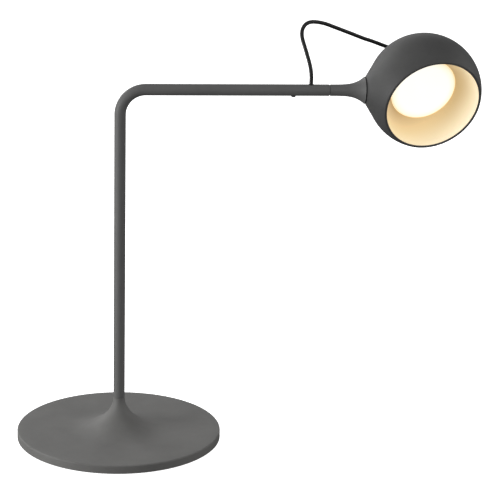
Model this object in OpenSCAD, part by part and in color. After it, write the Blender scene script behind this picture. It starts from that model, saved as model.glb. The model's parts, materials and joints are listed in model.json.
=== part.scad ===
// Desk lamp with a round weighted base, a bent tube stem and a ball-shaped head on a swivel.
// Millimetres, +Z up, +X along the arm. Origin: centre of the underside of the base, below the post.

/* [Base] */
// Radius of the round base
base_r = 95.5; // [92:0.5:105]
// Height of the base at its rim
base_h = 8.5; // [8:0.5:9.5]
// Radius at which the flare runs out into the flat top
flare_r = 50; // [45:1:60]
// Height at which the flare meets the post
flare_h = 39; // [36:1:46]
// Thickness of the sheet cover
cover_t = 1.2; // [1:0.1:1.4]

/* [Stem] */
// Outer radius of the bent tube
tube_r = 5.3; // [5:0.1:5.4]
// Height of the arm's centre line
arm_z = 333; // [300:1:360]
// Radius of the bend, on the tube's centre line
bend_r = 23; // [18:1:35]
// Distance from the post to the end of the arm tube
arm_end = 190; // [170:1:220]

/* [Head] */
// Radius of the ball
ball_r = 52.6; // [52.2:0.1:53]
// Thickness of the ball's cast wall
shell_t = 2; // [1.7:0.1:2.1]
// Distance from the ball's centre to the plane of its mouth
mouth_drop = 25.7; // [24:0.1:27]
// Radius of the part of the diffuser that shows
diffuser_r = 31; // [28:0.1:31.3]
// Angle from straight down to the way the head faces, about the arm
aim_roll = 68.2; // [64:0.1:72]
// Angle by which the head faces away from the arm
aim_tilt = 10.3; // [8:0.1:12]

/* [Cords] */
// Diameter of the cord that bridges the arm and the head
head_cord_d = 3.6; // [3:0.1:3.8]
// Diameter of the lead inside the stem
lead_d = 2.6; // [2:0.1:2.8]

/* [Hidden] */
$fn = 96;

paint = [0.32, 0.32, 0.32];
steel = [0.62, 0.63, 0.65];
rubber = [0.08, 0.08, 0.08];
cream = [0.93, 0.84, 0.66];

// Heights in the base, from the table up
foot_t = 0.6;
plate_t = 0.8;
plate_top = foot_t + plate_t;
ceiling_z = base_h - cover_t;
ballast_top = ceiling_z - 0.4;
ballast_r = base_r - 7;
edge_r = 1.2;
screw_ring_r = 60;
screw_angles = [30, 150, 270];

// The lead's way in, at the back of the rim
lead_z = 3.9;
gland_w = 4.4;
gland_bore_r = 1.6;
gland_lip = 1.2;
clamp_y = 70;
clamp_hole_x = 6;

// The spigot that holds the stem on the base
bore_r = tube_r - 1;
spigot_r = bore_r - 0.04;
spigot_bore_r = 2.2;
flange_z = ballast_top;
flange_t = 3;
stub_r = 5;
collar_z = flare_h - 11.2;
spigot_top = flare_h + 25;

// Stations along the arm
exit_x = arm_end - 17;
button_x = arm_end - 33;
board_z = arm_z + 0.2;
button_travel = 0.6;

// Neck and ball; the boss is the cone that carries the ball's skin out to the neck
neck_len = 32;
seam_gap = 1;
boss_angle = 32;
boss_face = 54;
boss_wall = 1.6;
ball_x = arm_end + neck_len + seam_gap + boss_face;
seam_x = arm_end + neck_len;
seam_r = boss_radius(ball_r, boss_face);

// The swivel, from inside the neck to inside the head
bolt_r = 4;
bolt_start = seam_x - 11;
bush_x = seam_x + seam_gap + boss_wall;
nut_x = bush_x + 2.3;
bolt_end = nut_x + 4.6;

// Levels in the head along its own axis, from the ball's centre; the mouth is at the negative end
diffuser_z = 1.6;
carrier_z = 5;
carrier_t = 3;
sink_floor_z = 11.5;
sink_r = 31.5;
screw_circle_r = 35.9;
gland_tip = ball_r + 8;
gland_hole_r = 3.7;
ball_centre = [ball_x, 0, arm_z];

// The bridging cord's centre line, measured from the end of the arm tube: first from inside the
// arm up and over the top of its arch, then down behind the ball towards the gland at its back
arm_tip = [arm_end, 0, arm_z];
rise_route = [
    for (p = [
        [-17, 0, 3.8], [-17, 0, 7], [-17, 0, 12.5], [-17.8, 0.5, 19.5], [-19.5, 1.5, 26.5],
        [-21.5, 3, 33.2], [-23.3, 5, 39.2], [-25, 7.5, 44.8], [-25.6, 10, 50.2], [-24.3, 12.5, 54.8],
        [-21.2, 15.5, 57.9], [-16.5, 19, 59.1], [-10.5, 23, 58.5], [-2, 28, 56.2], [6, 33, 52.8],
        [14, 38, 49.3], [22, 43, 45.8], [30.5, 48.5, 42]
    ]) arm_tip + p
];
fall_route = concat(
    [
        for (p = [
            [30.5, 48.5, 42], [39, 54, 38.2], [46, 57.5, 35.6], [53, 60.3, 32.8], [60.5, 62.7, 29.8],
            [67, 64.6, 27.3], [71, 65.3, 26.3], [73.5, 64.4, 25.4], [74.9, 61.9, 24.6], [75.5, 58.8, 23.5]
        ]) arm_tip + p
    ],
    [gland_point(gland_tip), gland_point(gland_tip - 6)]
);
// The lead's centre line from the back of the base to the board in the arm
lead_route = concat(
    [
        [0, 89.5, lead_z], [0, 60, lead_z], [0, 40, lead_z], [0, 33, 4.6], [0, 27, 7],
        [0, 20, 10.6], [0, 14, 13], [0, 8, 15.5], [0, 3.5, 19], [0, 1, 24], [0, 0, 30]
    ],
    [for (a = [0:11.25:90]) [bend_r * (1 - cos(a)), 0, arm_z - bend_r * (1 - sin(a))]],
    [[exit_x - 33, 0, arm_z]]
);

function unit(v) = v / norm(v);

// The boss's cone grazes a sphere of radius r: how far its line lies from the ball's centre, and its
// own radius at the plane d from that centre
function boss_reach(r) = r * cos(4);
function boss_radius(r, d) = (boss_reach(r) - d * cos(boss_angle)) / sin(boss_angle);

// A point on the gland's axis, at distance d from the ball's centre
function gland_point(d) =
    ball_centre + d * [
        -sin(aim_tilt), cos(aim_tilt) * sin(aim_roll), cos(aim_tilt) * cos(aim_roll)
    ];

// Direction of a route at its point i
function heading(route, i) =
    unit(route[min(i + 1, len(route) - 1)] - route[max(i - 1, 0)]);

// A sideways direction at point i, carried along the route so that the tube doesn't twist
function side(route, i, first) =
    i == 0
    ? unit(cross(heading(route, 0), first))
    : let (t = heading(route, i), s = side(route, i - 1, first)) unit(s - (s * t) * t);

// A round tube with flat ends swept along a route
module swept(route, r, sides, first) {
    rings = [
        for (i = [0:len(route) - 1])
            let (t = heading(route, i), u = side(route, i, first), v = cross(t, u))
                for (k = [0:sides - 1])
                    route[i] + r * (u * cos(360 * k / sides) + v * sin(360 * k / sides))
    ];
    last = (len(route) - 1) * sides;
    walls = [
        for (i = [0:len(route) - 2], k = [0:sides - 1])
            let (a = i * sides + k, b = i * sides + (k + 1) % sides)
                [a, b, b + sides, a + sides]
    ];
    polyhedron(
        rings,
        concat(
            walls,
            [[for (k = [0:sides - 1]) sides - 1 - k]],
            [[for (k = [0:sides - 1]) last + k]]
        ),
        convexity = 6
    );
}

// A ring or tube about Z, from z0 to z1
module ring(outer, inner, z0, z1) {
    translate([0, 0, z0])
        difference() {
            cylinder(r = outer, h = z1 - z0);
            translate([0, 0, -1]) cylinder(r = inner, h = z1 - z0 + 2);
        }
}

// A body of revolution about Z, from an outline of [radius, height] points
module turned(outline) rotate_extrude() polygon(outline);

// Puts a piece that is drawn about Z onto the arm's axis, its height becoming x
module along_arm() translate([0, 0, arm_z]) rotate([0, 90, 0]) children();

// Puts a piece that is drawn hanging below the ball's centre where the head faces
module in_head()
    translate(ball_centre)
        rotate([-aim_roll, 0, 0])
            rotate([0, -aim_tilt, 0])
                children();

// Copies a piece to each base screw's place
module at_base_screws()
    for (a = screw_angles)
        rotate([0, 0, a])
            translate([screw_ring_r, 0, 0])
                children();

// Copies a piece to each place of the screws in the head
module at_head_screws()
    for (a = [0, 120, 240])
        rotate([0, 0, a])
            translate([screw_circle_r, 0, 0])
                children();

// Points of the flare, a quarter of an ellipse, grown by g towards the inside of the sheet
function flare_point(a, g) = [
    flare_r - (flare_r - tube_r + g) * cos(a),
    flare_h - (flare_h - base_h + g) * sin(a)
];

// ---- base ----

module foot_pad() {
    color(rubber)
        turned([[0, 0], [base_r - 4.3, 0], [base_r - 4, 0.3], [base_r - 4, foot_t], [0, foot_t]]);
}

module bottom_plate() {
    color(steel)
        difference() {
            translate([0, 0, foot_t]) cylinder(r = base_r - cover_t - 0.2, h = plate_t);
            at_base_screws()
                translate([0, 0, foot_t - 0.01])
                    cylinder(r1 = 2.55, r2 = 1.75, h = plate_t + 0.02);
        }
}

// Countersunk screws that hold the bottom plate and the ballast up into the cover
module base_screws() {
    color(steel)
        at_base_screws() {
            difference() {
                translate([0, 0, foot_t]) cylinder(r1 = 2.5, r2 = 1.24, h = 1.26);
                translate([0, 0, foot_t - 0.1]) cylinder(r = 0.8, h = 0.7, $fn = 6);
            }
            translate([0, 0, foot_t + 0.8]) cylinder(r = 1.24, h = ceiling_z - foot_t - 1.2);
        }
}

// The weight: a steel disc with a slot for the lead and a seat for the stem nut
module ballast_disc() {
    color(steel)
        difference() {
            translate([0, 0, plate_top]) cylinder(r = ballast_r, h = ballast_top - plate_top);
            cylinder(r = stub_r + 0.05, h = base_h);
            cylinder(r = 9, h = 4);
            at_base_screws() cylinder(r = 3, h = base_h);
            translate([-2.2, 21, 0]) cube([4.4, ballast_r, base_h]);
            translate([-9, clamp_y - 3.6, 0]) cube([18, 7.2, 2.6]);
            for (x = [-1, 1])
                translate([x * clamp_hole_x, clamp_y, 0]) cylinder(r = 0.92, h = 5.2);
        }
}

// The pressed steel cover, with its flare, its rim and the bosses for the base screws
module base_cover() {
    outer = [for (a = [0:3.75:90]) flare_point(a, 0)];
    corner = [
        for (a = [90:-15:0])
            [base_r - edge_r + edge_r * cos(a), base_h - edge_r + edge_r * sin(a)]
    ];
    inner = [for (a = [90:-5:20]) flare_point(a, cover_t)];
    color(paint)
        difference() {
            union() {
                turned(concat(
                    [[bore_r + 0.02, collar_z], [bore_r + 0.02, flare_h]],
                    outer,
                    corner,
                    [
                        [base_r, foot_t], [base_r - cover_t, foot_t],
                        [base_r - cover_t, ceiling_z]
                    ],
                    inner
                ));
                at_base_screws() translate([0, 0, 2.15]) cylinder(r = 2.6, h = ceiling_z - 2.1);
            }
            at_base_screws() cylinder(r = 1.26, h = ceiling_z - 0.2);
            translate([-gland_w / 2 - 0.05, base_r - 5, lead_z - gland_w / 2 - 0.05])
                cube([gland_w + 0.1, 10, gland_w + 0.1]);
        }
}

// The turned spigot: a threaded stub through the ballast, a flange on it and a shaft up into the stem
module stem_spigot() {
    color(steel)
        difference() {
            turned([
                [spigot_bore_r, 1.8], [stub_r, 1.8], [stub_r, flange_z], [16, flange_z],
                [16, flange_z + flange_t], [spigot_r, flange_z + flange_t],
                [spigot_r, spigot_top], [spigot_bore_r, spigot_top]
            ]);
            translate([-1.9, 0, 12]) cube([3.8, 6, 18]);
        }
}

module stem_washer() {
    color(steel) ring(8.5, stub_r + 0.05, 3.5, 4);
}

module stem_nut() {
    color(steel)
        difference() {
            translate([0, 0, 1.7]) cylinder(r = 8.4, h = 1.8, $fn = 6);
            cylinder(r = stub_r + 0.02, h = 6);
        }
}

// The square-bodied bush in the rim where the lead comes in, with a round lip outside
module lead_gland() {
    color(rubber)
        difference() {
            union() {
                translate([-gland_w / 2, base_r - 4, lead_z - gland_w / 2])
                    cube([gland_w, 4.02, gland_w]);
                translate([0, base_r + 0.02, lead_z])
                    rotate([-90, 0, 0])
                        turned([[0, 0], [2.9, 0], [2.9, 0.7], [2.4, gland_lip], [0, gland_lip]]);
            }
            translate([0, base_r - 5, lead_z])
                rotate([-90, 0, 0])
                    cylinder(r = gland_bore_r, h = 8);
        }
}

// The bar that holds the lead in the ballast's slot
module lead_clamp() {
    color(steel)
        difference() {
            translate([-8, clamp_y - 3, 1.9]) cube([16, 6, 0.7]);
            for (x = [-1, 1])
                translate([x * clamp_hole_x, clamp_y, 1.89])
                    cylinder(r1 = 1.75, r2 = 1, h = 0.72);
        }
}

module clamp_screws() {
    color(steel)
        for (x = [-1, 1])
            translate([x * clamp_hole_x, clamp_y, 0]) {
                translate([0, 0, 1.9]) cylinder(r1 = 1.7, r2 = 0.9, h = 0.75);
                translate([0, 0, 2.5]) cylinder(r = 0.9, h = 2.5);
            }
}

// ---- stem and arm ----

// The tube: post, bend and arm, with the holes for the cord, the button and the neck's grub screw
module stem_tube() {
    color(paint)
        difference() {
            union() {
                ring(tube_r, bore_r, flare_h, arm_z - bend_r);
                translate([bend_r, 0, arm_z - bend_r])
                    rotate([90, 0, 0])
                        rotate_extrude(angle = 90, start = 90)
                            translate([bend_r, 0])
                                difference() {
                                    circle(r = tube_r);
                                    circle(r = bore_r);
                                }
                along_arm() ring(tube_r, bore_r, bend_r, arm_end);
            }
            translate([exit_x, 0, arm_z]) cylinder(r = 2.5, h = 2 * tube_r);
            translate([button_x, 0, arm_z - 2 * tube_r]) cylinder(r = 2.2, h = 2 * tube_r);
            translate([arm_end - 5, 0, arm_z]) rotate([-90, 0, 0]) cylinder(r = 1.25, h = 2 * tube_r);
        }
}

module inner_lead() {
    color(rubber) swept(lead_route, lead_d / 2, 8, [1, 0, 0]);
}

// The bush at the hole where the cord leaves the arm
module arm_grommet() {
    bore = head_cord_d / 2 + 0.08;
    color(rubber)
        translate([exit_x, 0, arm_z])
            turned([
                [bore, 2], [2.95, 2], [2.95, 2.6], [2.45, 2.6],
                [2.45, tube_r + 0.15], [bore, tube_r + 0.25]
            ]);
}

// The dimmer's circuit board, lying in the arm
module switch_board() {
    color("darkgreen") translate([exit_x - 32, -3, board_z]) cube([28, 6, 0.8]);
    color("black") translate([exit_x - 28, -1.8, board_z + 0.8]) cube([5, 3.6, 1]);
}

// The push switch under the board
module switch_body() {
    color("silver")
        difference() {
            translate([button_x - 3, -1.9, board_z - 1.9]) cube([6, 3.8, 1.9]);
            translate([button_x, 0, board_z - 2]) cylinder(r = 0.95, h = 1.7);
        }
}

// The small coil spring that returns the button
module button_spring() {
    turns = 2.5;
    low = arm_z - 2.6;
    high = board_z - 2.05;
    coil = [
        for (i = [0:30])
            [
                button_x + 1.35 * cos(360 * turns * i / 30),
                1.35 * sin(360 * turns * i / 30),
                low + (high - low) * i / 30
            ]
    ];
    color("silver") swept(coil, 0.12, 6, [0, 0, 1]);
}

// The dimmer's button, a small dome under the arm on a stem that works the switch
module dimmer_button() {
    dome = [for (a = [0:15:90]) [2.1 * sin(a), -tube_r - 0.4 - 0.8 * cos(a)]];
    color(rubber)
        translate([button_x, 0, arm_z])
            turned(concat(
                dome,
                [[2.1, -3.1], [2.45, -3.1], [2.45, -2.7], [0.85, -2.7], [0.85, -1], [0, -1]]
            ));
}

// The turned neck: it starts flush with the arm and flares out to meet the head's boss
module neck() {
    steps = 24;
    wall = [
        for (i = [0:steps])
            [tube_r + (seam_r - tube_r) * pow(i / steps, 4), arm_end + neck_len * i / steps]
    ];
    color(paint)
        along_arm()
            turned(concat(
                [[3.02, arm_end]],
                wall,
                [
                    [bolt_r + 0.02, seam_x], [bolt_r + 0.02, bolt_start], [0, bolt_start],
                    [0, arm_end + 13], [3.02, arm_end + 13]
                ]
            ));
}

// The spigot that joins the neck to the arm tube
module neck_spigot() {
    color(steel)
        difference() {
            along_arm() {
                translate([0, 0, arm_end - 11]) cylinder(r = spigot_r, h = 11);
                translate([0, 0, arm_end - 0.01]) cylinder(r = 3, h = 12.5);
            }
            translate([arm_end - 5, 0, arm_z]) rotate([-90, 0, 0]) cylinder(r = 1.22, h = 6);
        }
}

module neck_screw() {
    color(steel)
        translate([arm_end - 5, 0, arm_z])
            rotate([-90, 0, 0])
                difference() {
                    cylinder(r = 1.2, h = tube_r - 0.3);
                    translate([0, 0, tube_r - 1.5]) cylinder(r = 0.7, h = 2, $fn = 6);
                }
}

// The bolt, fixed in the neck, that the head turns on
module swivel_bolt() {
    color(steel)
        along_arm()
            translate([0, 0, bolt_start]) cylinder(r = bolt_r, h = bolt_end - bolt_start);
}

// The dark washer between neck and head, set back in the gap
module friction_washer() {
    color(rubber) along_arm() ring(seam_r - 1.1, bolt_r + 0.05, seam_x, seam_x + seam_gap - 0.02);
}

// The flanged bush in the head's boss, which turns on the bolt
module swivel_bush() {
    color("whitesmoke")
        along_arm()
            turned([
                [bolt_r + 0.05, seam_x + seam_gap + 0.1], [bolt_r + 2, seam_x + seam_gap + 0.1],
                [bolt_r + 2, bush_x], [9.5, bush_x], [9.5, bush_x + 1], [bolt_r + 0.05, bush_x + 1]
            ]);
}

// The dished spring washer that keeps the swivel stiff
module spring_washer() {
    color(steel)
        along_arm()
            turned([
                [bolt_r + 0.1, nut_x - 0.8], [bolt_r + 0.1, nut_x - 0.02], [5.5, nut_x - 0.02],
                [8, nut_x - 0.48], [8, nut_x - 1.28]
            ]);
}

module swivel_nut() {
    color(steel)
        along_arm()
            difference() {
                translate([0, 0, nut_x]) cylinder(r = 7.5, h = 4, $fn = 6);
                translate([0, 0, nut_x - 1]) cylinder(r = bolt_r + 0.01, h = 6);
            }
}

// ---- head, drawn hanging below the ball's centre ----

// The strain relief at the ball's back, which turns in the shell's hole
module cord_gland() {
    bore = head_cord_d / 2 + 0.08;
    color(rubber)
        in_head()
            turned([
                [bore, 46], [gland_hole_r - 0.1, 46], [gland_hole_r - 0.1, ball_r + 0.15],
                [4.8, ball_r + 0.15], [4.8, ball_r + 0.9], [4.3, ball_r + 1.4], [3.3, ball_r + 1.8],
                [2.3, gland_tip], [bore, gland_tip]
            ]);
}

module gland_nut() {
    color(steel)
        in_head()
            difference() {
                translate([0, 0, 47.4]) cylinder(r = 6.2, h = 2.4, $fn = 6);
                translate([0, 0, 47]) cylinder(r = gland_hole_r - 0.09, h = 4);
            }
}

// Half the section of a ball of radius r with the boss's cone cut off at the plane d from its centre
module ball_section(r, d) {
    reach = boss_reach(r);
    intersection() {
        union() {
            circle(r = r);
            polygon([
                [0, -d], [boss_radius(r, d), -d],
                [reach * sin(boss_angle), -reach * cos(boss_angle)], [0, -reach * cos(boss_angle)]
            ]);
        }
        translate([0, -2 * r]) square([2 * r, 4 * r]);
    }
}

// The cast head: a ball, open at its mouth, with a boss towards the neck
module head_shell() {
    color(paint)
        difference() {
            translate(ball_centre)
                rotate([0, 90, 0])
                    rotate_extrude($fn = 160)
                        difference() {
                            ball_section(ball_r, boss_face);
                            ball_section(ball_r - shell_t, boss_face - boss_wall);
                            translate([0, -boss_face - 1]) square([bolt_r + 2.05, 10]);
                        }
            in_head() {
                translate([0, 0, -mouth_drop - ball_r]) cylinder(r = 2 * ball_r, h = ball_r);
                cylinder(r = gland_hole_r, h = 2 * ball_r);
            }
        }
}

// The ring fixed inside the ball that carries the light engine, notched for the swivel's nut
module carrier_ring() {
    outer = sqrt(pow(ball_r - shell_t, 2) - pow(carrier_z + carrier_t, 2)) - 0.05;
    color("dimgray")
        in_head()
            difference() {
                ring(outer, sink_r, carrier_z, carrier_z + carrier_t);
                translate([-60, -10.5, 0]) cube([18.5, 21, 20]);
                at_head_screws() cylinder(r = 1.3, h = 20);
            }
}

// The aluminium heat sink: a flanged cup with straight fins on its back
module heat_sink() {
    color("silver")
        in_head()
            difference() {
                union() {
                    translate([0, 0, carrier_z + carrier_t]) cylinder(r = 38.5, h = 1.5);
                    translate([0, 0, carrier_z + carrier_t]) cylinder(r = sink_r, h = 6.5);
                    intersection() {
                        translate([0, 0, sink_floor_z]) cylinder(r = 29, h = 20);
                        for (y = [-24:5:24])
                            if (abs(y) > 7)
                                translate([-30, y - 0.7, sink_floor_z + 2]) cube([60, 1.4, 16]);
                    }
                }
                translate([0, 0, carrier_z]) cylinder(r = sink_r - 1.5, h = sink_floor_z - carrier_z);
                at_head_screws() cylinder(r = 1.02, h = 20);
            }
}

module led_board() {
    color("white")
        in_head()
            translate([0, 0, sink_floor_z - 1.6]) cylinder(r = sink_r - 2, h = 1.6);
}

module led_chips() {
    color("khaki")
        in_head()
            for (ring_no = [[9, 6], [19, 12]])
                for (i = [0:ring_no[1] - 1])
                    rotate([0, 0, 360 * i / ring_no[1]])
                        translate([ring_no[0] - 1.5, -1.5, sink_floor_z - 2.3])
                            cube([3, 3, 0.7]);
}

// The cream reflector, a curved funnel from the mouth to the diffuser
module reflector() {
    steps = 14;
    edge_z = mouth_drop - 0.9;
    mouth_r = sqrt(pow(ball_r - shell_t, 2) - pow(edge_z, 2)) - 0.1;
    front = [
        for (i = [0:steps])
            let (t = i / steps)
                [
                    diffuser_r + (mouth_r - 0.4 - diffuser_r) * t + 1.7 * sin(180 * t),
                    diffuser_z - (diffuser_z + edge_z) * t
                ]
    ];
    back = [
        for (i = [steps:-1:0])
            let (t = i / steps)
                [
                    diffuser_r + 1.2 + (mouth_r - 1.2 - diffuser_r) * t + 1.7 * sin(180 * t),
                    diffuser_z - (diffuser_z + edge_z) * t
                ]
    ];
    color(cream)
        in_head()
            difference() {
                turned(concat(
                    front,
                    back,
                    [
                        [33.9, diffuser_z], [33.9, carrier_z - 1], [38.3, carrier_z - 1],
                        [38.3, carrier_z], [32.9, carrier_z], [32.9, 2.4], [diffuser_r, 2.4]
                    ]
                ));
                at_head_screws() cylinder(r = 1.3, h = 20);
            }
}

// The opal diffuser, a shallow dome with a flange behind the reflector's edge
module diffuser() {
    dome_r = diffuser_r - 0.3;
    dome_h = 3.4;
    dome = [for (a = [0:7.5:90]) [dome_r * sin(a), 2.5 - dome_h * pow(cos(a), 0.6)]];
    color("ivory")
        in_head()
            turned(concat(dome, [[32.7, 2.5], [32.7, 4], [0, 4]]));
}

module diffuser_ring() {
    color("dimgray") in_head() ring(32.7, 30.6, 4, 4.95);
}

module head_screws() {
    color(steel)
        in_head()
            at_head_screws() {
                difference() {
                    translate([0, 0, carrier_z - 2.2]) cylinder(r = 1.8, h = 1.2);
                    translate([0, 0, carrier_z - 2.3]) cylinder(r = 0.8, h = 0.8, $fn = 6);
                }
                translate([0, 0, carrier_z - 1.1]) cylinder(r = 1, h = 5.5);
            }
}

// The two-way block that joins the cord's wires to the LED board
module terminal_block() {
    color("whitesmoke")
        in_head()
            difference() {
                translate([-7, -4.5, sink_floor_z + 3]) cube([14, 9, 8]);
                for (x = [-3, 3]) translate([x, 0, sink_floor_z + 6]) cylinder(r = 1.2, h = 8);
            }
}

// The cord's two inner wires, between the gland and the terminal block
module head_wires() {
    color("firebrick")
        in_head()
            for (s = [-1, 1])
                swept(
                    [
                        [3 * s, 0, 19], [3 * s, 0, 25], [4 * s, 0, 32],
                        [2.5 * s, 0, 40], [0.8 * s, 0, 45.8]
                    ],
                    0.6, 6, [0, 1, 0]
                );
}

// ---- the cord that bridges the arm and the head ----

module head_cord_rise() {
    color(rubber) swept(rise_route, head_cord_d / 2, 8, [0, 1, 0]);
}

module head_cord_fall() {
    color(rubber) swept(fall_route, head_cord_d / 2, 8, [0, 1, 0]);
}

foot_pad();
bottom_plate();
base_screws();
ballast_disc();
base_cover();
stem_spigot();
stem_washer();
stem_nut();
lead_gland();
lead_clamp();
clamp_screws();
stem_tube();
inner_lead();
arm_grommet();
switch_board();
switch_body();
button_spring();
dimmer_button();
neck();
neck_spigot();
neck_screw();
swivel_bolt();
friction_washer();
swivel_bush();
spring_washer();
swivel_nut();
cord_gland();
gland_nut();
head_shell();
carrier_ring();
heat_sink();
led_board();
led_chips();
reflector();
diffuser();
diffuser_ring();
head_screws();
terminal_block();
head_wires();
head_cord_rise();
head_cord_fall();
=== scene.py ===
"""Looks for the desk lamp: smooth skins, cord, button and light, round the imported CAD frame. Metres."""

import json
import math

import bmesh
import bpy
from mathutils import Matrix, Vector


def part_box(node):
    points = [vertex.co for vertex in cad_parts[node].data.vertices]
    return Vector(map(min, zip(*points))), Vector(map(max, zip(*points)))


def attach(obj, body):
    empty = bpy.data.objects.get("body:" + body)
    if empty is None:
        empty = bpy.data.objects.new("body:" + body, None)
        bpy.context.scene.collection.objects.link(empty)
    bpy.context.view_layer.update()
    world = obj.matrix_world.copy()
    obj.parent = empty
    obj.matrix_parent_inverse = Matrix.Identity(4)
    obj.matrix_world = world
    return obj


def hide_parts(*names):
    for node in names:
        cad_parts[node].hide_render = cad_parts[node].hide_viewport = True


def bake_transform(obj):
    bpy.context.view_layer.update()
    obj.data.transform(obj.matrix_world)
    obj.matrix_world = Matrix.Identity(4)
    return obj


MM = 0.001
MERGE = 1e-7  # points closer than this are one point
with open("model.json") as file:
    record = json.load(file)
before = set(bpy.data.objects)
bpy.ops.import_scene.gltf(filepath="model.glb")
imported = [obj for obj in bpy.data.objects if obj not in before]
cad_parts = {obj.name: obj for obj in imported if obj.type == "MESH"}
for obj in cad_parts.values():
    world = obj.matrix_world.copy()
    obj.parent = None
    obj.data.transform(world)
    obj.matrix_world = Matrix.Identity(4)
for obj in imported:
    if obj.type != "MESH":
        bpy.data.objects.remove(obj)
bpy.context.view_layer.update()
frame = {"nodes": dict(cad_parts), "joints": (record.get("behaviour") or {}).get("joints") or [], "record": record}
JOINTS = {j["name"]: j for j in frame["joints"]}

# ---- places and sizes, read from the frame ----

ball_centre = Vector(JOINTS["head_roll"]["pos_m"])
arm_z = ball_centre.z


def span(node, axis):
    """How far a CAD node reaches along an axis, 0, 1 or 2."""
    low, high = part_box(node)
    return high[axis] - low[axis]


base_r = span("base_cover", 0) / 2
tube_r = span("stem_tube", 1) / 2
flare_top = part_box("stem_tube")[0].z
arm_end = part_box("stem_tube")[1].x
button_x = sum(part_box("dimmer_button")[i].x for i in (0, 1)) / 2
exit_x = sum(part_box("arm_grommet")[i].x for i in (0, 1)) / 2

# The base's and head's own proportions, as in the CAD source
BASE_H = 8.5 * MM
FLARE_R = 50 * MM
EDGE_R = 1.2 * MM
COVER_T = 1.2 * MM
FOOT_T = 0.6 * MM
BEND_R = 23 * MM
BALL_R = 52.6 * MM
SHELL_T = 2 * MM
MOUTH_DROP = 25.7 * MM
DIFFUSER_R = 31 * MM
DIFFUSER_Z = 1.6 * MM
NECK_LEN = 32 * MM
BOSS_ANGLE = math.radians(32)
BOSS_SINK = math.radians(4)  # how far round the ball the cone starts before its own angle
BOSS_FACE = 54 * MM
BOSS_WALL = 1.6 * MM
AIM_ROLL = math.radians(68.2)
AIM_TILT = math.radians(10.3)
CORD_R = 1.8 * MM
CORD_PLAY = 0.08 * MM  # between the cord and the bushes it passes through
LEAD_Z = 3.9 * MM
GLAND_W = 4.4 * MM
SEAM_W = 0.6 * MM  # the groove where the arm meets the neck
SEAM_DEPTH = 0.55 * MM

# The way the head faces
facing = Vector((
    math.sin(AIM_TILT),
    -math.cos(AIM_TILT) * math.sin(AIM_ROLL),
    -math.cos(AIM_TILT) * math.cos(AIM_ROLL),
))

# ---- camera, at the photograph's place ----

CAMERA_AT = Vector((-0.0556, -1.6735, 0.6664))
CAMERA_YAW = -6.015
CAMERA_PITCH = -16.055
CAMERA_ROLL = 1.348
CAMERA_LENS = 135.90


def make_camera():
    data = bpy.data.cameras.new("camera")
    data.sensor_width = 36
    data.lens = CAMERA_LENS
    data.clip_start = 0.05
    data.clip_end = 30
    camera = bpy.data.objects.new("camera", data)
    bpy.context.scene.collection.objects.link(camera)
    yaw = Matrix.Rotation(math.radians(CAMERA_YAW), 4, "Z")
    lift = Matrix.Rotation(math.radians(90 + CAMERA_PITCH), 4, "X")
    roll = Matrix.Rotation(math.radians(CAMERA_ROLL), 4, "Z")
    camera.matrix_world = Matrix.Translation(CAMERA_AT) @ yaw @ lift @ roll
    bpy.context.scene.camera = camera


# ---- mesh helpers ----


def to_mesh(name, points, faces, crease=35):
    """A smooth-shaded mesh, with edges sharper than crease degrees kept crisp."""
    mesh = bpy.data.meshes.new(name)
    mesh.from_pydata([tuple(p) for p in points], [], faces)
    work = bmesh.new()
    work.from_mesh(mesh)
    bmesh.ops.remove_doubles(work, verts=work.verts, dist=MERGE)
    bmesh.ops.recalc_face_normals(work, faces=work.faces)
    work.to_mesh(mesh)
    work.free()
    mesh.polygons.foreach_set("use_smooth", [True] * len(mesh.polygons))
    mesh.set_sharp_from_angle(angle=math.radians(crease))
    piece = bpy.data.objects.new(name, mesh)
    bpy.context.scene.collection.objects.link(piece)
    return piece


def quarter(steps):
    """Angles from 0 to 90 degrees, in equal steps."""
    return [math.radians(90 * i / steps) for i in range(steps + 1)]


def rounded(outline, radius, steps=5):
    """A closed outline with its corners turned into arcs of about that radius, if over 25 degrees."""
    made = []
    count = len(outline)
    for i in range(count):
        before = Vector(outline[i - 1])
        here = Vector(outline[i])
        after = Vector(outline[(i + 1) % count])
        back, ahead = before - here, after - here
        room = min(back.length, ahead.length) / 2
        turn = math.pi - back.angle(ahead, math.pi)
        on_axis = here.x < MERGE
        if on_axis or room < MERGE or turn < math.radians(25):
            made.append(tuple(here))
            continue
        cut = min(radius * math.tan(turn / 2), room * 0.98)
        first = here + back.normalized() * cut
        last = here + ahead.normalized() * cut
        for k in range(steps + 1):
            t = k / steps
            made.append(tuple((1 - t) ** 2 * first + 2 * t * (1 - t) * here + t * t * last))
    return made


def lathe(name, outline, place, segments=128, crease=35):
    """A closed solid of revolution: outline points are (radius, height), turned about place's Z axis."""
    points, faces, rings = [], [], []
    for radius, height in outline:
        start = len(points)
        if radius < MERGE:
            points.append(place @ Vector((0, 0, height)))
            rings.append([start] * segments)
            continue
        for k in range(segments):
            a = 2 * math.pi * k / segments
            points.append(place @ Vector((radius * math.cos(a), radius * math.sin(a), height)))
        rings.append(list(range(start, start + segments)))
    for i in range(len(rings)):
        low, high = rings[i], rings[(i + 1) % len(rings)]
        for k in range(segments):
            corners = [low[k], low[(k + 1) % segments], high[(k + 1) % segments], high[k]]
            kept = [c for n, c in enumerate(corners) if c not in corners[:n]]
            if len(kept) > 2:
                faces.append(kept)
    return to_mesh(name, points, faces, crease)


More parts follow.
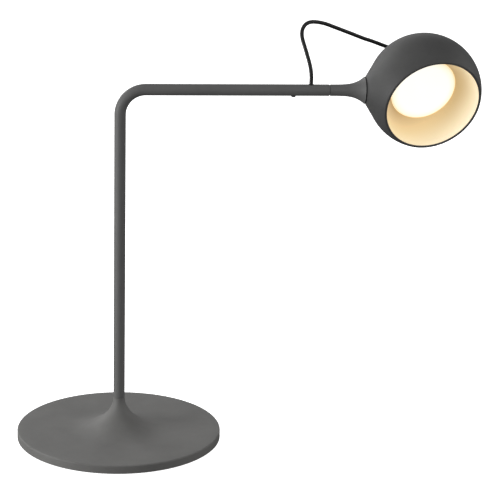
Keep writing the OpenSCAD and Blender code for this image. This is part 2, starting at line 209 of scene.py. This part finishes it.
def smooth_route(route, steps=6):
    """Points on a Catmull-Rom curve through a route's points."""
    pts = [Vector(p) for p in route]
    pts = [2 * pts[0] - pts[1]] + pts + [2 * pts[-1] - pts[-2]]
    made = []
    for a, b, c, d in zip(pts, pts[1:], pts[2:], pts[3:]):
        for k in range(steps):
            t = k / steps
            square = 2 * a - 5 * b + 4 * c - d
            cube = 3 * b - a - 3 * c + d
            made.append(0.5 * (2 * b + (c - a) * t + square * t**2 + cube * t**3))
    made.append(pts[-2])
    return made


def tube(name, path, radii, sides=24, crease=50):
    """A round tube with closed ends along a path; radii is one radius, or one for each point."""
    if not hasattr(radii, "__len__"):
        radii = [radii] * len(path)
    points, faces, across = [], [], None
    for i, here in enumerate(path):
        ahead = (path[min(i + 1, len(path) - 1)] - path[max(i - 1, 0)]).normalized()
        if across is None:
            across = ahead.orthogonal().normalized()
        across = (across - ahead * across.dot(ahead)).normalized()
        other = ahead.cross(across)
        for k in range(sides):
            a = 2 * math.pi * k / sides
            points.append(here + radii[i] * (across * math.cos(a) + other * math.sin(a)))
    for i in range(len(path) - 1):
        for k in range(sides):
            a, b = i * sides + k, i * sides + (k + 1) % sides
            faces.append([a, b, b + sides, a + sides])
    faces.append(list(range(sides)))
    faces.append(list(range(len(points) - sides, len(points))))
    return to_mesh(name, points, faces, crease)


UP = Matrix.Identity(4)
ALONG_ARM = Matrix.Translation((0, 0, arm_z)) @ Matrix.Rotation(math.radians(90), 4, "Y")
IN_HEAD = Matrix.Translation(ball_centre) @ (-facing).to_track_quat("Z", "X").to_matrix().to_4x4()


def at(x, y, z):
    return Matrix.Translation((x, y, z))


# ---- materials ----


class Finish:
    """A node material on the Principled shader, with short calls for its textures."""

    def __init__(self, name, roughness=0.5, metallic=0.0, specular=0.5):
        self.material = bpy.data.materials.new(name)
        self.material.use_nodes = True
        self.tree = self.material.node_tree
        self.shader = self.tree.nodes["Principled BSDF"]
        self.shader.inputs["Roughness"].default_value = roughness
        self.shader.inputs["Metallic"].default_value = metallic
        self.shader.inputs["Specular IOR Level"].default_value = specular
        self.place = self.add("ShaderNodeTexCoord").outputs["Object"]

    def add(self, kind, **settings):
        node = self.tree.nodes.new(kind)
        for key, value in settings.items():
            setattr(node, key, value)
        return node

    def link(self, output, target):
        self.tree.links.new(output, target)

    def noise(self, scale, detail=3.0, roughness=0.5, stretch=(1, 1, 1)):
        mapping = self.add("ShaderNodeMapping")
        mapping.inputs["Scale"].default_value = stretch
        self.link(self.place, mapping.inputs["Vector"])
        node = self.add("ShaderNodeTexNoise")
        node.inputs["Scale"].default_value = scale
        node.inputs["Detail"].default_value = detail
        node.inputs["Roughness"].default_value = roughness
        self.link(mapping.outputs["Vector"], node.inputs["Vector"])
        return node.outputs["Fac"]

    def distance_from(self, point):
        """How far the shaded point lies from a fixed one."""
        node = self.add("ShaderNodeVectorMath", operation="DISTANCE")
        node.inputs[1].default_value = point
        self.link(self.place, node.inputs[0])
        return node.outputs["Value"]

    def ramp(self, value, stops):
        """A colour ramp; stops are (position, colour)."""
        node = self.add("ShaderNodeValToRGB")
        elements = node.color_ramp.elements
        while len(elements) < len(stops):
            elements.new(0.5)
        for element, (position, colour) in zip(elements, stops):
            element.position = position
            element.color = (*colour, 1)
        self.link(value, node.inputs["Fac"])
        return node.outputs["Color"]

    def between(self, value, low, high, start=0.3, end=0.7):
        """value from start to end becomes a number from low to high."""
        node = self.add("ShaderNodeMapRange")
        node.inputs["From Min"].default_value = start
        node.inputs["From Max"].default_value = end
        node.inputs["To Min"].default_value = low
        node.inputs["To Max"].default_value = high
        self.link(value, node.inputs["Value"])
        return node.outputs["Result"]

    def bump(self, height, distance, strength=1.0, under=None):
        node = self.add("ShaderNodeBump")
        node.inputs["Distance"].default_value = distance
        node.inputs["Strength"].default_value = strength
        self.link(height, node.inputs["Height"])
        if under is not None:
            self.link(under, node.inputs["Normal"])
        return node.outputs["Normal"]

    def set(self, socket, output):
        self.link(output, self.shader.inputs[socket])


def powder_coat(name, dark, light, roughness=0.6):
    """Fine matte powder coat: a soft mottle, a pebbled skin and slightly uneven gloss."""
    f = Finish(name, specular=0.35)
    mottle = f.noise(38, 4, 0.6)
    grain = f.noise(2600, 2, 0.6)
    peel = f.noise(620, 2, 0.5)
    f.set("Base Color", f.ramp(mottle, [(0.3, dark), (0.7, light)]))
    f.set("Roughness", f.between(grain, roughness - 0.06, roughness + 0.08))
    f.set("Normal", f.bump(grain, 0.00002, 0.5, f.bump(peel, 0.00004, 0.45)))
    return f.material


def cream_enamel_painted_light():
    """Satin cream enamel inside the head, with painted shade (a darker tan) beside the diffuser and painted light
    (an emission glow) growing towards the mouth.
    """
    f = Finish("cream_enamel_painted_light", roughness=0.42, specular=0.4)
    peel = f.noise(900, 2, 0.5)
    # Painted light and painted shade: the emission glow grows, and the cream's painted shade fades, with the
    # distance from a point behind the diffuser, set towards the arm's side
    painted_shade_point = ball_centre - facing * 0.03 - Vector((0.016, 0, -0.008))
    painted_light_mix = f.between(f.distance_from(painted_shade_point), 0, 1, 0.042, 0.086)
    painted_glow_colours = [(0.0, (0.02, 0.01, 0.0)), (0.5, (0.26, 0.20, 0.10)), (1.0, (0.46, 0.43, 0.33))]
    cream_with_painted_shade = [(0.0, (0.52, 0.34, 0.15)), (0.4, (0.79, 0.61, 0.35)), (1.0, (0.84, 0.71, 0.50))]
    f.set("Emission Color", f.ramp(painted_light_mix, painted_glow_colours))
    f.shader.inputs["Emission Strength"].default_value = 1.0
    f.set("Base Color", f.ramp(painted_light_mix, cream_with_painted_shade))
    f.set("Roughness", f.between(peel, 0.36, 0.48))
    f.set("Normal", f.bump(peel, 0.00003, 0.35))
    return f.material


def opal():
    """Opal diffuser, lit from behind: white in the middle and warmer at its edge."""
    f = Finish("opal_lit", roughness=0.35)
    warm = f.between(f.distance_from(ball_centre + facing * 0.001), 0, 1, 0.024, DIFFUSER_R)
    haze = f.noise(70, 3, 0.5)
    whites = [(0.0, (0.98, 0.95, 0.88)), (0.75, (0.93, 0.84, 0.66)), (1.0, (0.90, 0.70, 0.40))]
    f.set("Base Color", f.ramp(haze, [(0.3, (0.30, 0.28, 0.24)), (0.7, (0.34, 0.32, 0.28))]))
    f.set("Emission Color", f.ramp(warm, whites))
    f.shader.inputs["Emission Strength"].default_value = 1.0
    return f.material


def soft_black(name, colour, roughness, grain_scale, grain_depth):
    """Matte black rubber or cable jacket with a fine extruded skin."""
    f = Finish(name, specular=0.35)
    grain = f.noise(grain_scale, 3, 0.6)
    tone = f.noise(90, 2, 0.5)
    light = tuple(c * 1.6 for c in colour)
    f.set("Base Color", f.ramp(tone, [(0.3, colour), (0.7, light)]))
    f.set("Roughness", f.between(grain, roughness - 0.08, roughness + 0.08))
    f.set("Normal", f.bump(grain, grain_depth, 0.6))
    return f.material


def plated(name, colour, roughness):
    """Plated or bare metal with fine turning marks."""
    f = Finish(name, metallic=1.0)
    marks = f.noise(900, 2, 0.7, stretch=(1, 1, 12))
    tone = f.noise(60, 2, 0.5)
    dark = tuple(c * 0.82 for c in colour)
    f.set("Base Color", f.ramp(tone, [(0.3, dark), (0.7, colour)]))
    f.set("Roughness", f.between(marks, roughness - 0.1, roughness + 0.12))
    f.set("Normal", f.bump(marks, 0.00001, 0.4))
    return f.material


def moulded(name, colour, roughness=0.5):
    """Moulded plastic or board with a faint texture."""
    f = Finish(name)
    skin = f.noise(1500, 2, 0.6)
    tone = f.noise(45, 2, 0.5)
    dark = tuple(c * 0.9 for c in colour)
    f.set("Base Color", f.ramp(tone, [(0.3, dark), (0.7, colour)]))
    f.set("Roughness", f.between(skin, roughness - 0.07, roughness + 0.07))
    f.set("Normal", f.bump(skin, 0.00002, 0.4))
    return f.material


PAINT = powder_coat("graphite_coat", (0.101, 0.101, 0.100), (0.115, 0.115, 0.114))
# A lighter copy of the same graphite coat, for the base: painted light.
BASE_COAT_PAINTED_LIGHT = powder_coat("graphite_coat_base_painted_light", (0.119, 0.118, 0.114), (0.135, 0.134, 0.129), 0.64)
# A darker copy of the same graphite coat, for the head: painted shade.
HEAD_COAT_PAINTED_SHADE = powder_coat("graphite_coat_head_painted_shade", (0.055, 0.055, 0.055), (0.064, 0.064, 0.063))
CREAM_WITH_PAINTED_LIGHT = cream_enamel_painted_light()
OPAL = opal()
CORD_JACKET = soft_black("cord_jacket", (0.003, 0.003, 0.003), 0.55, 1400, 0.00003)
RUBBER = soft_black("black_rubber", (0.012, 0.012, 0.012), 0.62, 900, 0.00004)
PLATED = plated("zinc_plate", (0.60, 0.61, 0.63), 0.38)
CASTING = plated("oiled_iron", (0.14, 0.13, 0.125), 0.6)
ALUMINIUM = plated("bare_aluminium", (0.78, 0.79, 0.80), 0.35)
DARK_PLASTIC = moulded("dark_plastic", (0.04, 0.04, 0.04))
WHITE_PLASTIC = moulded("white_plastic", (0.80, 0.80, 0.78))
BOARD_GREEN = moulded("board_green", (0.02, 0.12, 0.05), 0.4)
BOARD_WHITE = moulded("board_white", (0.80, 0.80, 0.80), 0.4)
PHOSPHOR = moulded("phosphor", (0.80, 0.62, 0.15), 0.45)
WIRE_RED = moulded("wire_red", (0.45, 0.03, 0.02), 0.4)

# The finish of each material slot in the record
SLOT_FINISH = {
    "graphite_paint": PAINT,
    "ballast_iron": CASTING,
    "plated_steel": PLATED,
    "bare_aluminium": ALUMINIUM,
    "black_rubber": RUBBER,
    "cord_black": CORD_JACKET,
    "cream_reflector": CREAM_WITH_PAINTED_LIGHT,
    "opal_diffuser": OPAL,
    "dark_plastic": DARK_PLASTIC,
    "white_plastic": WHITE_PLASTIC,
    "circuit_board": BOARD_GREEN,
    "led_board_white": BOARD_WHITE,
    "led_phosphor": PHOSPHOR,
    "wire_red": WIRE_RED,
}


def dress(piece, material):
    piece.data.materials.clear()
    piece.data.materials.append(material)


def dress_frame():
    """Gives every CAD node the finish of its slot."""
    for part in frame["record"]["subparts"]:
        dress(frame["nodes"][part["node"]], SLOT_FINISH[part["material_slot"]])


def fit(piece, body, node, material):
    """A finished piece that stands for one CAD node and rides on its body."""
    dress(piece, material)
    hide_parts(node)
    if body:
        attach(piece, body)
    return piece


# ---- the bridging cord ----

# The cord's centre line in the CAD source, from inside the arm over the top of its arch
RISE_ROUTE = [
    (0.173, 0, 0.3368), (0.173, 0, 0.340), (0.173, 0, 0.3455), (0.1722, 0.0005, 0.3525),
    (0.1705, 0.0015, 0.3595), (0.1685, 0.003, 0.3662), (0.1667, 0.005, 0.3722), (0.165, 0.0075, 0.3778),
    (0.1644, 0.010, 0.3832), (0.1657, 0.0125, 0.3878), (0.1688, 0.0155, 0.3909), (0.1735, 0.019, 0.3921),
    (0.1795, 0.023, 0.3915), (0.188, 0.028, 0.3892), (0.196, 0.033, 0.3858), (0.204, 0.038, 0.3823),
    (0.212, 0.043, 0.3788), (0.2205, 0.0485, 0.375),
]
# Its last two points, at the gland's tip and inside it, from the ball's centre
GLAND_TIP = 60.6 * MM
CORD_STOP = 54.6 * MM
# The rest, down behind the ball and into its gland
FALL_ROUTE = [
    (0.2205, 0.0485, 0.375), (0.229, 0.054, 0.3712), (0.236, 0.0575, 0.3686), (0.243, 0.0603, 0.3658),
    (0.2505, 0.0627, 0.3628), (0.257, 0.0646, 0.3603), (0.261, 0.0653, 0.3593), (0.2635, 0.0644, 0.3584),
    (0.2649, 0.0619, 0.3576), (0.2655, 0.0588, 0.3565),
    tuple(ball_centre - facing * GLAND_TIP), tuple(ball_centre - facing * CORD_STOP),
]


def make_cord(name, node, route):
    """One stretch of the cord where it crosses from the stand to the head, as a round tube along a smooth curve
    through its route.
    """
    path = smooth_route(route)
    piece = fit(tube(name, path, CORD_R), None, node, CORD_JACKET)
    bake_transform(piece)


# ---- base ----


def base_outline():
    """The pressed cover's section: flat top, rounded rim, and a quarter-ellipse flare up to the post."""
    reach, rise = FLARE_R - tube_r, flare_top - BASE_H
    flare = [(FLARE_R - reach * math.cos(a), flare_top - rise * math.sin(a)) for a in quarter(48)]
    flare[0] = (tube_r, flare_top - 0.45 * MM)
    edge = [
        (base_r - EDGE_R * (1 - math.cos(a)), BASE_H - EDGE_R * (1 - math.sin(a)))
        for a in reversed(quarter(8))
    ]
    top = [(FLARE_R + (base_r - EDGE_R - FLARE_R) * i / 6, BASE_H) for i in range(1, 6)]
    collar = [(tube_r - 1 * MM, flare_top - 0.6 * MM), (tube_r - 0.45 * MM, flare_top)]
    under = [
        (base_r, FOOT_T + 0.3 * MM), (base_r - 0.3 * MM, FOOT_T),
        (base_r - COVER_T, FOOT_T), (base_r - COVER_T, BASE_H - COVER_T),
    ]
    under += [
        (FLARE_R - (reach + COVER_T) * math.cos(a), flare_top - (rise + COVER_T) * math.sin(a))
        for a in (math.radians(90 - 5 * i) for i in range(15))
    ]
    under += [(tube_r - 1 * MM, flare_top - 11.2 * MM)]
    return collar + flare + top + edge + under


def box_mesh(name, low, high):
    """A plain box, used only as a cutter."""
    points = [(x, y, z) for x in (low[0], high[0]) for y in (low[1], high[1]) for z in (low[2], high[2])]
    sides = [(0, 1, 3, 2), (4, 6, 7, 5), (0, 4, 5, 1), (2, 3, 7, 6), (0, 2, 6, 4), (1, 5, 7, 3)]
    return to_mesh(name, points, sides)


def cut(piece, cutter):
    """Takes the cutter's shape out of a piece, and removes the cutter."""
    knife = piece.modifiers.new("cut", "BOOLEAN")
    knife.object = cutter
    knife.solver = "EXACT"
    made = bpy.data.meshes.new_from_object(piece.evaluated_get(bpy.context.evaluated_depsgraph_get()))
    piece.modifiers.clear()
    piece.data = made
    piece.data.set_sharp_from_angle(angle=math.radians(35))
    bpy.data.objects.remove(cutter)


def make_base():
    """The base's cover, and the bush for the lead in the back of its rim."""
    base = lathe("base_skin", base_outline(), UP, 256, 30)
    half = GLAND_W / 2 + 0.05 * MM
    slot_low = (-half, base_r - 5 * MM, LEAD_Z - half)
    slot_high = (half, base_r + 5 * MM, LEAD_Z + half)
    cut(base, box_mesh("slot", slot_low, slot_high))
    fit(base, "stand", "base_cover", BASE_COAT_PAINTED_LIGHT)
    bore, barrel, flange = 1.6 * MM, 2.15 * MM, 2.9 * MM
    inner, outer = base_r - 4 * MM, base_r + 1.2 * MM
    section = [
        (bore, inner), (barrel, inner), (barrel, base_r + 0.02 * MM), (flange, base_r + 0.02 * MM),
        (flange, base_r + 0.7 * MM), (flange - 0.5 * MM, outer), (bore, outer),
    ]
    towards_back = at(0, 0, LEAD_Z) @ Matrix.Rotation(math.radians(-90), 4, "X")
    bush = lathe("lead_bush", rounded(section, 0.15 * MM), towards_back, 48)
    fit(bush, "stand", "lead_gland", RUBBER)


# ---- stem, arm and neck ----


def make_stem():
    """Post, bend and arm as one tube, with a small chamfer where each end meets its neighbour."""
    lip, lip_depth, rings = 0.5 * MM, 0.45 * MM, 24
    post_top, arm_start = arm_z - BEND_R, BEND_R
    bend = [
        Vector((BEND_R * (1 - math.cos(a)), 0, post_top + BEND_R * math.sin(a))) for a in quarter(40)[1:-1]
    ]
    post = [Vector((0, 0, flare_top + (post_top - flare_top) * i / rings)) for i in range(rings + 1)]
    post[1:1] = [Vector((0, 0, flare_top + lip))]
    arm = [Vector((arm_start + (arm_end - arm_start) * i / rings, 0, arm_z)) for i in range(rings + 1)]
    arm[-1:-1] = [Vector((arm_end - SEAM_W, 0, arm_z)), Vector((arm_end - 0.6 * SEAM_W, 0, arm_z))]
    path = post + bend + arm
    radii = [tube_r] * len(path)
    radii[0] = tube_r - lip_depth
    radii[-2:] = [tube_r - SEAM_DEPTH] * 2
    fit(tube("stem_skin", path, radii, 64, 40), "stand", "stem_tube", PAINT)


def boss_radius(radius, drop):
    """Radius of the boss's cone on a ball of that radius, at the plane drop from the ball's centre."""
    return (radius * math.cos(BOSS_SINK) - drop * math.cos(BOSS_ANGLE)) / math.sin(BOSS_ANGLE)


def make_neck():
    """The neck's section: a groove at the arm, the slow flare, and the flat end that faces the head."""
    steps = 96
    end_r = boss_radius(BALL_R, BOSS_FACE)
    neck_end = arm_end + NECK_LEN
    groove_r = tube_r - SEAM_DEPTH
    wall = [
        (tube_r + (end_r - tube_r) * (i / steps) ** 4, arm_end + NECK_LEN * i / steps)
        for i in range(steps + 1)
    ]
    wall = [(r, x) for r, x in wall if arm_end + SEAM_W < x < neck_end - 0.2 * MM]
    lip = [(end_r - 0.08 * MM, neck_end - 0.15 * MM), (end_r - 0.25 * MM, neck_end), (0, neck_end)]
    start = [(0, arm_end), (groove_r, arm_end), (groove_r, arm_end + 0.35 * MM)]
    neck = lathe("neck_skin", start + wall + lip, ALONG_ARM, 128, 40)
    fit(neck, "stand", "neck", PAINT)


def make_grommet():
    """The bush that the cord leaves the arm through, with its flange inside."""
    bore, barrel, flange = CORD_R + CORD_PLAY, 2.45 * MM, 2.95 * MM
    section = [
        (bore, 2 * MM), (flange, 2 * MM), (flange, 2.6 * MM), (barrel, 2.6 * MM),
        (barrel, tube_r + 0.15 * MM), (bore, tube_r + 0.25 * MM),
    ]
    bush = lathe("cord_bush", rounded(section, 0.12 * MM), at(exit_x, 0, arm_z), 48)
    fit(bush, "stand", "arm_grommet", RUBBER)


def make_button():
    """A small domed push button, with a flange inside the arm and a stem up to the switch."""
    cap, flange, stem = 2.1 * MM, 2.45 * MM, 0.85 * MM
    dome = [
        (cap * math.sin(a) ** 0.6, -tube_r - 0.4 * MM - 0.8 * MM * math.cos(a)) for a in quarter(14)
    ]
    inside = [
        (cap, -3.1 * MM), (flange, -3.1 * MM), (flange, -2.7 * MM),
        (stem, -2.7 * MM), (stem, -1 * MM), (0, -1 * MM),
    ]
    button = lathe("button_cap", dome + inside, at(button_x, 0, arm_z), 48)
    fit(button, "button", "dimmer_button", RUBBER)


def make_spring():
    """The button's return spring, a coil of wire in the arm at the button."""
    low, high = arm_z - 2.56 * MM, arm_z - 1.85 * MM
    radius, wire_r, turns, steps = 1.35 * MM, 0.12 * MM, 2.5, 90
    coil = []
    for i in range(steps + 1):
        a = 2 * math.pi * turns * i / steps
        height = low + (high - low) * i / steps
        coil.append(Vector((button_x + radius * math.cos(a), radius * math.sin(a), height)))
    spring = fit(tube("button_coil", coil, wire_r, 10), None, "button_spring", PLATED)
    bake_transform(spring)


# ---- head ----


def ball_section(radius, drop, count=96):
    """Half a section of the ball with its boss, from the pole away from the neck to the boss's edge."""
    meet = BOSS_ANGLE - BOSS_SINK
    arc = [
        (radius * math.sin(a), radius * math.cos(a))
        for a in ((math.pi - meet) * i / count for i in range(count + 1))
    ]
    near = radius * math.cos(meet)
    cone = [(boss_radius(radius, d), -d) for d in (near + (drop - near) * i / 6 for i in range(1, 7))]
    return arc + cone


def mouth_cutter():
    """What is cut away at the mouth; its groove leaves the wall's edge rounded."""
    inner, outer = (math.sqrt(r**2 - MOUTH_DROP**2) for r in (BALL_R - SHELL_T, BALL_R))
    far = 2 * BALL_R
    groove = [
        (inner + 0.06 * MM, 0.5 * MM), (inner + 0.3 * MM, 0.22 * MM), (inner + 0.45 * MM, 0.07 * MM),
        (inner + 0.6 * MM, 0), (outer - 0.32 * MM, 0), (outer - 0.16 * MM, 0.06 * MM),
        (outer - 0.02 * MM, 0.2 * MM), (outer + 0.4 * MM, 0.5 * MM),
    ]
    outline = [(0, 0.5 * MM)] + groove + [(far, 0.5 * MM), (far, -far), (0, -far)]
    return lathe("mouth", [(r, z - MOUTH_DROP) for r, z in outline], IN_HEAD, 256)


def make_ball():
    """The cast head: a ball with a boss towards the neck, open at its mouth."""
    hole, gland_hole_r = 6.05 * MM, 3.7 * MM
    outside = ball_section(BALL_R, BOSS_FACE)
    inside = ball_section(BALL_R - SHELL_T, BOSS_FACE - BOSS_WALL)[::-1]
    edge_r = outside.pop()[0]
    outside += [(edge_r + 0.02 * MM, -BOSS_FACE + 0.1 * MM), (edge_r - 0.2 * MM, -BOSS_FACE)]
    outline = outside + [(hole, -BOSS_FACE), (hole, -BOSS_FACE + BOSS_WALL)] + inside
    ball = lathe("ball_skin", outline, at(ball_centre.x, 0, 0) @ ALONG_ARM, 256, 40)
    cut(ball, mouth_cutter())
    through = [(0, 40 * MM), (gland_hole_r, 40 * MM), (gland_hole_r, 60 * MM), (0, 60 * MM)]
    cut(ball, lathe("gland_hole", through, IN_HEAD, 48))
    fit(ball, "head", "head_shell", HEAD_COAT_PAINTED_SHADE)


def make_reflector():
    """The cream funnel from the mouth in to the diffuser."""
    edge_z = MOUTH_DROP - 0.9 * MM
    mouth_r = math.sqrt((BALL_R - SHELL_T) ** 2 - edge_z**2) - 0.1 * MM
    drop = DIFFUSER_Z + edge_z
    crown, steps = 1.7 * MM, 40

    def wall(start_r, end_r):
        parts = [i / steps for i in range(steps + 1)]
        return [
            (start_r + (end_r - start_r) * t + crown * math.sin(math.pi * t), DIFFUSER_Z - drop * t)
            for t in parts
        ]

    front = wall(DIFFUSER_R, mouth_r - 0.25 * MM)
    back = wall(DIFFUSER_R + 1.2 * MM, mouth_r)[::-1]
    collar, flange, seat = 33.9 * MM, 38.3 * MM, 32.9 * MM
    rear = [
        (collar, DIFFUSER_Z), (collar, 4 * MM), (flange, 4 * MM),
        (flange, 5 * MM), (seat, 5 * MM), (seat, 2.4 * MM), (DIFFUSER_R, 2.4 * MM),
    ]
    funnel = lathe("reflector_skin", front + back + rear, IN_HEAD, 192, 40)
    fit(funnel, "head", "reflector", CREAM_WITH_PAINTED_LIGHT)


def make_diffuser():
    """The opal dome, with a softly rounded shoulder at the reflector's edge."""
    dome_r, dome_h = DIFFUSER_R - 0.3 * MM, 3.4 * MM
    edge_r, front, back = 32.7 * MM, 2.5 * MM, 4 * MM
    dome = [(dome_r * math.sin(a), front - dome_h * math.cos(a) ** 0.6) for a in quarter(40)[:-1]]
    flange = [(dome_r, front), (edge_r, front), (edge_r, back), (0, back)]
    fit(lathe("opal_dome", dome + flange, IN_HEAD, 192, 40), "head", "diffuser", OPAL)


def make_gland():
    """The strain relief at the ball's back, with rings cut round its taper."""
    bore, barrel, flange, taper_r = CORD_R + CORD_PLAY, 3.6 * MM, 4.8 * MM, 3.3 * MM
    taper = []
    for i in range(6):
        near = BALL_R + (2.2 + i * 0.95) * MM
        far = near + 0.55 * MM
        radius = taper_r - i * 0.14 * MM
        taper += [(radius, near), (radius - 0.05 * MM, far), (radius - 0.3 * MM, far + 0.05 * MM)]
        taper += [(radius - 0.35 * MM, far + 0.35 * MM)]
    outline = [
        (bore, 46 * MM), (barrel, 46 * MM), (barrel, BALL_R + 0.15 * MM), (flange, BALL_R + 0.15 * MM),
        (flange, BALL_R + 0.9 * MM), (flange - 0.5 * MM, BALL_R + 1.4 * MM), (taper_r, BALL_R + 1.8 * MM),
    ]
    outline += taper + [(2.3 * MM, BALL_R + 7.95 * MM), (bore, BALL_R + 8 * MM)]
    fit(lathe("cord_relief", outline, IN_HEAD, 64, 40), "head", "cord_gland", RUBBER)


# ---- floor and light ----


def make_floor():
    """A pale floor that fills the view and doesn't throw its own colour on the lamp."""
    mesh = bpy.data.meshes.new("floor")
    half = 14
    corners = [(-half, -half, 0), (half, -half, 0), (half, half, 0), (-half, half, 0)]
    mesh.from_pydata(corners, [], [(0, 1, 2, 3)])
    floor = bpy.data.objects.new("floor", mesh)
    bpy.context.scene.collection.objects.link(floor)
    paper = Finish("paper", roughness=0.9, specular=0.1)
    paper.shader.inputs["Base Color"].default_value = (0.9, 0.9, 0.9, 1)
    paper.shader.inputs["Emission Color"].default_value = (1, 1, 1, 1)
    paper.shader.inputs["Emission Strength"].default_value = 1.0
    dress(floor, paper.material)
    floor.visible_diffuse = False
    floor.visible_glossy = False


def area_light(name, place, target, size, watts):
    """A round soft light, turned towards its target."""
    data = bpy.data.lights.new(name, "AREA")
    data.shape = "DISK"
    data.size = size
    data.energy = watts
    light = bpy.data.objects.new(name, data)
    bpy.context.scene.collection.objects.link(light)
    light.location = place
    light.rotation_mode = "QUATERNION"
    light.rotation_quaternion = (Vector(target) - Vector(place)).to_track_quat("-Z", "Y")


def make_light():
    """Soft studio lights round the lamp, and a faint even light from all sides."""
    middle = (0.12, 0, 0.2)
    area_light("left_low", (-1.7, -0.5, 0.3), middle, 1.0, 40)
    area_light("back_left", (-1.2, 1.6, 1.2), middle, 1.4, 22)
    area_light("front_right", (1.4, -1.6, 0.9), middle, 1.4, 17)
    area_light("right", (2.2, 0.2, 1.0), middle, 1.2, 10)
    area_light("top", (0.1, -0.2, 2.4), middle, 1.6, 9)
    area_light("back", (0.3, 2.2, 1.3), middle, 1.6, 7)
    world = bpy.data.worlds.new("studio")
    world.use_nodes = True
    background = world.node_tree.nodes["Background"]
    background.inputs["Color"].default_value = (1, 1, 1, 1)
    background.inputs["Strength"].default_value = 0.13
    bpy.context.scene.world = world
    bpy.context.scene.view_settings.view_transform = "Standard"


make_camera()
dress_frame()
make_cord("cord_rise", "head_cord_rise", RISE_ROUTE)
make_cord("cord_fall", "head_cord_fall", FALL_ROUTE)
make_base()
make_stem()
make_neck()
make_grommet()
make_button()
make_spring()
make_ball()
make_reflector()
make_diffuser()
make_gland()
make_floor()
make_light()
